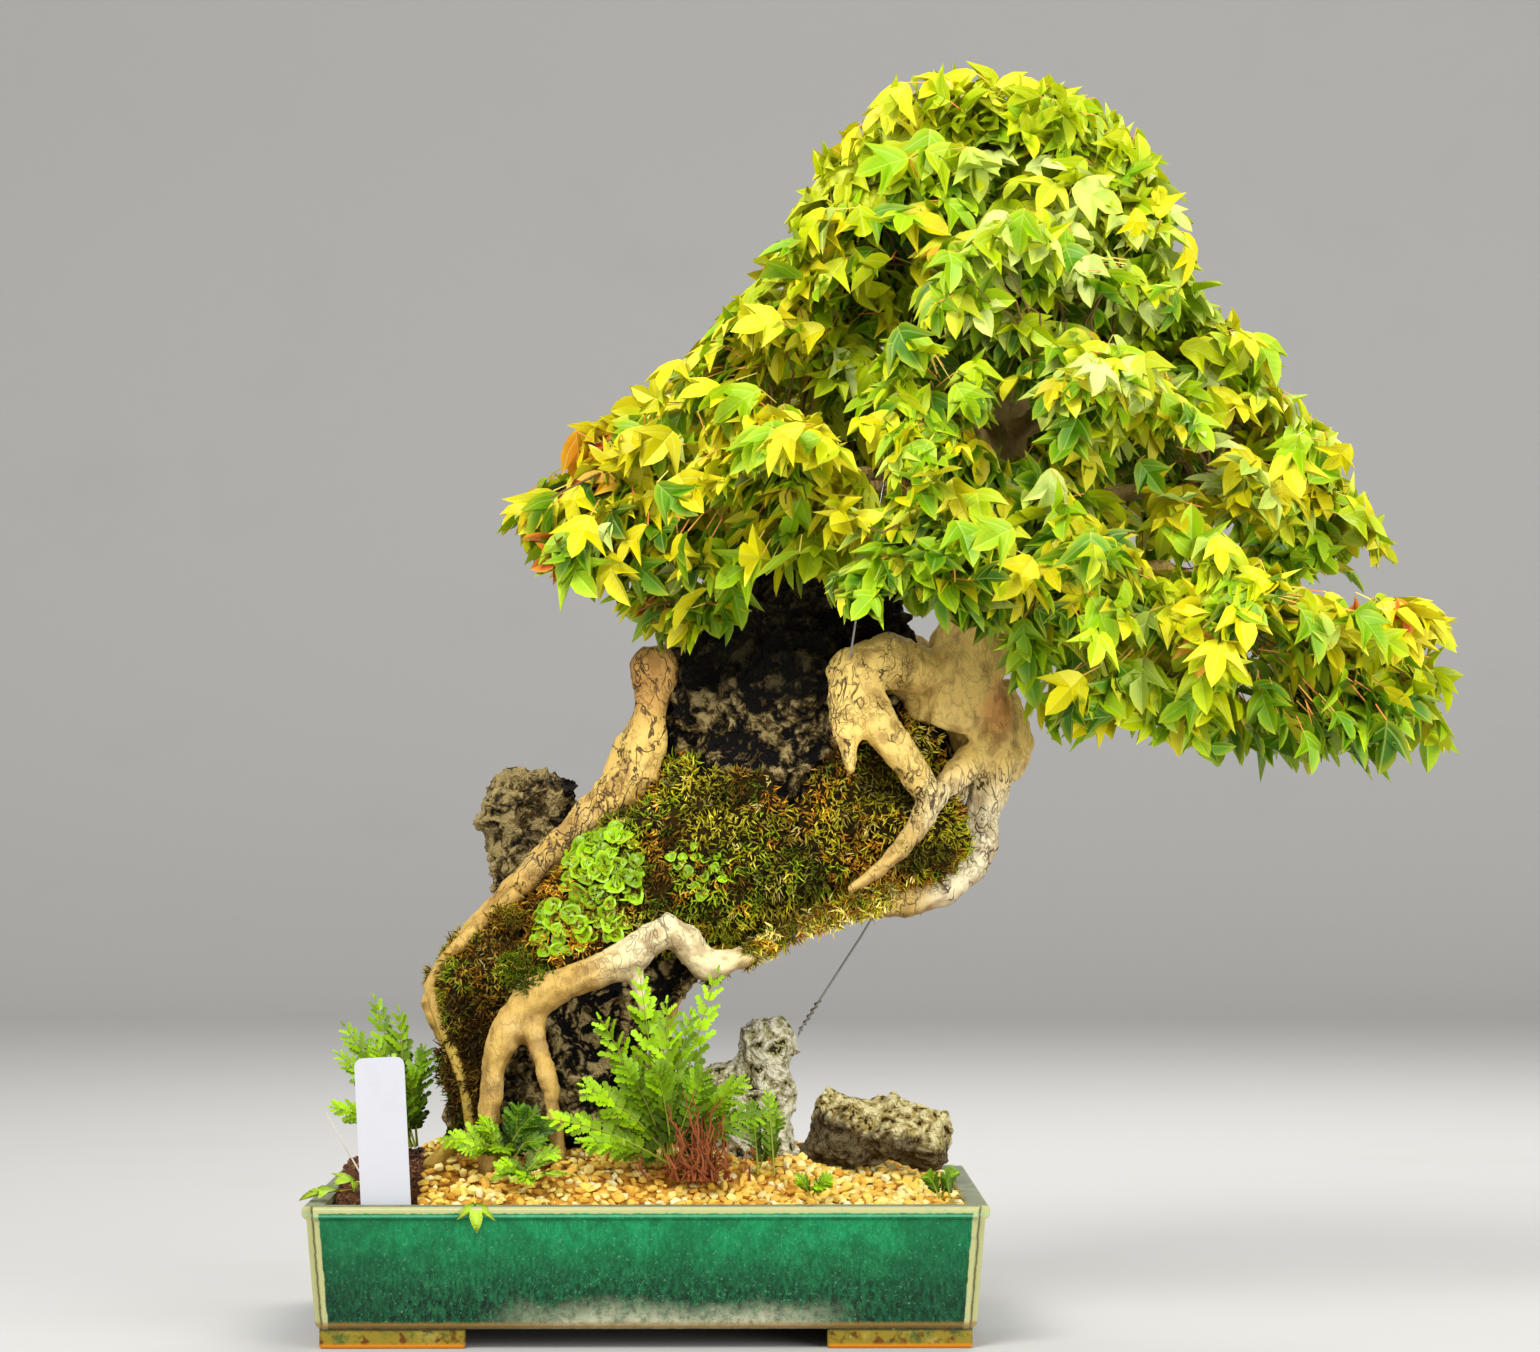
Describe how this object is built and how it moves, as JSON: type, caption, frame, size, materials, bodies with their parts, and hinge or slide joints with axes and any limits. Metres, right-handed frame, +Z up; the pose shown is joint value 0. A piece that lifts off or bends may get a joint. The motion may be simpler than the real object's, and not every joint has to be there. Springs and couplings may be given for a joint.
{
  "type": "deciduous bonsai",
  "caption": "Broadleaf bonsai with cascading roots grown over a leaning mossy rock, set in pumice gravel in a glazed oblong pot with companion ferns and accent stones.",
  "frame": {"origin": "on the surface that the pot's feet stand on, at the middle of the whole plant's box seen from above", "axes": "+Z up, the plant's longest extent; -Y towards the front; +X to the right, the way the tree leans"},
  "size_m": [0.6053, 0.3791, 0.6707],
  "materials": {
    "green_glaze": "deep mottled green glaze, cream where it breaks over the edges",
    "earth": "dark crumbly potting soil with bark and peat",
    "gravel": "porous cream and golden pumice grit, light and matte",
    "crag_rock": "rough grey rock with near black clefts",
    "moss": "olive to brown fibrous moss",
    "bark": "cream and tan plated bark with golden patches",
    "fern": "bright green soft spikemoss fronds",
    "liverwort": "lime green waxy cups",
    "dry_stem": "dead red-brown curled stems",
    "pale_stone": "wrinkled light grey stone",
    "white_tag": "blank white plastic plant label",
    "wire": "dull dark tie wire",
    "screen": "black plastic drainage mesh",
    "maple_leaf": "yellow-green three-lobed leaves, glossy above"
  },
  "bodies": {
    "root": {"pot": "green_glaze", "soil": "earth", "gravel": "gravel", "rock": "crag_rock", "moss": "moss", "tree": "bark", "front_fern": "fern", "left_fern": "fern", "dead_stems": "dry_stem", "liverwort": "liverwort", "tall_stone": "pale_stone", "low_stone": "pale_stone", "plant_tag": "white_tag", "low_wire": "wire", "high_wire": "wire", "drain_screen_1": "screen", "drain_screen_2": "screen", "spray_apex": "maple_leaf", "spray_crown_left": "maple_leaf", "spray_crown_front": "maple_leaf", "spray_crown_right": "maple_leaf", "spray_crown_back": "maple_leaf", "spray_mid_left": "maple_leaf", "spray_mid_centre": "maple_leaf", "spray_mid_front": "maple_leaf", "spray_mid_right": "maple_leaf", "spray_left_low": "maple_leaf", "spray_left_front": "maple_leaf", "spray_left_back": "maple_leaf", "spray_centre_front": "maple_leaf", "spray_right_low": "maple_leaf", "spray_right_front": "maple_leaf", "spray_right_tip": "maple_leaf", "spray_right_mid": "maple_leaf", "spray_right_low_back": "maple_leaf", "spray_right_back": "maple_leaf", "spray_low_back": "maple_leaf", "spray_left_sprig": "maple_leaf", "spray_trunk_front": "maple_leaf"}
  },
  "joints": []
}
